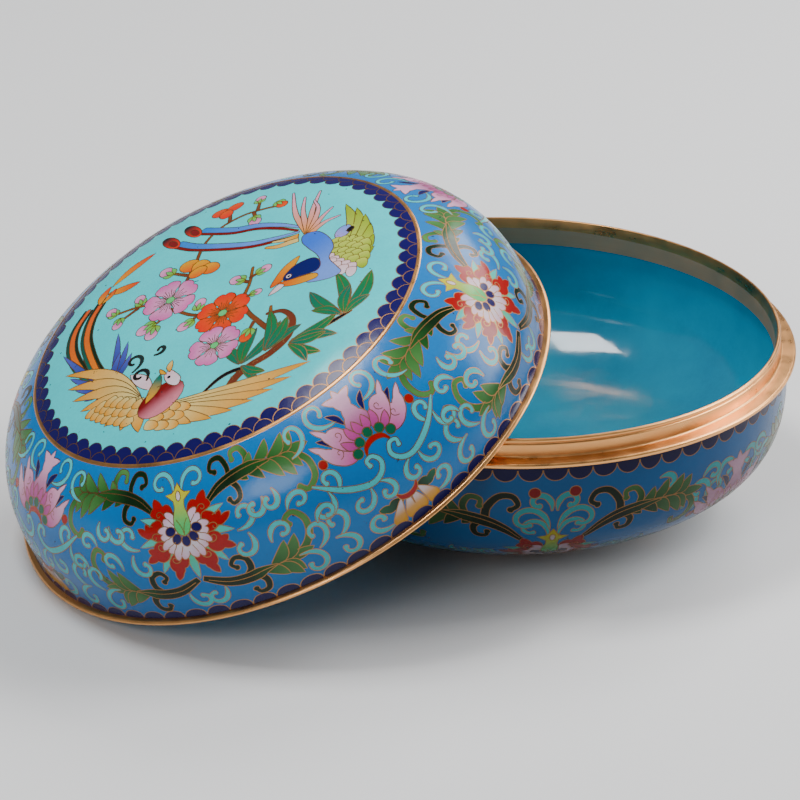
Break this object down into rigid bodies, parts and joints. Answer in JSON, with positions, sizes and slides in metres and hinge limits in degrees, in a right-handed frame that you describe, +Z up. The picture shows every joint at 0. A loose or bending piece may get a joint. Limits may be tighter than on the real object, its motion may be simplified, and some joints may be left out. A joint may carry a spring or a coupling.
{
  "type": "cloisonne enamel box",
  "caption": "Round domed cloisonne enamel box with gilt rims, shown open with its lift-off lid leaning on the base, for sweets, jewellery or trinkets.",
  "frame": {"origin": "on the table, under the middle of the whole object as it stands", "axes": "+Z up, the base's axis is parallel to +Z; -Y is the front; the lid leans down towards -X and a little to the front"},
  "size_m": [0.273, 0.236, 0.121],
  "materials": {
    "enamel": "polished glassy enamel in gilt cloisons over copper",
    "gilt": "satin gilt copper, warm, slightly worn"
  },
  "bodies": {
    "root": {"base_bowl": "enamel", "mouth_ring": "gilt", "lid_dome": "enamel", "lid_rim": "gilt"}
  },
  "joints": []
}
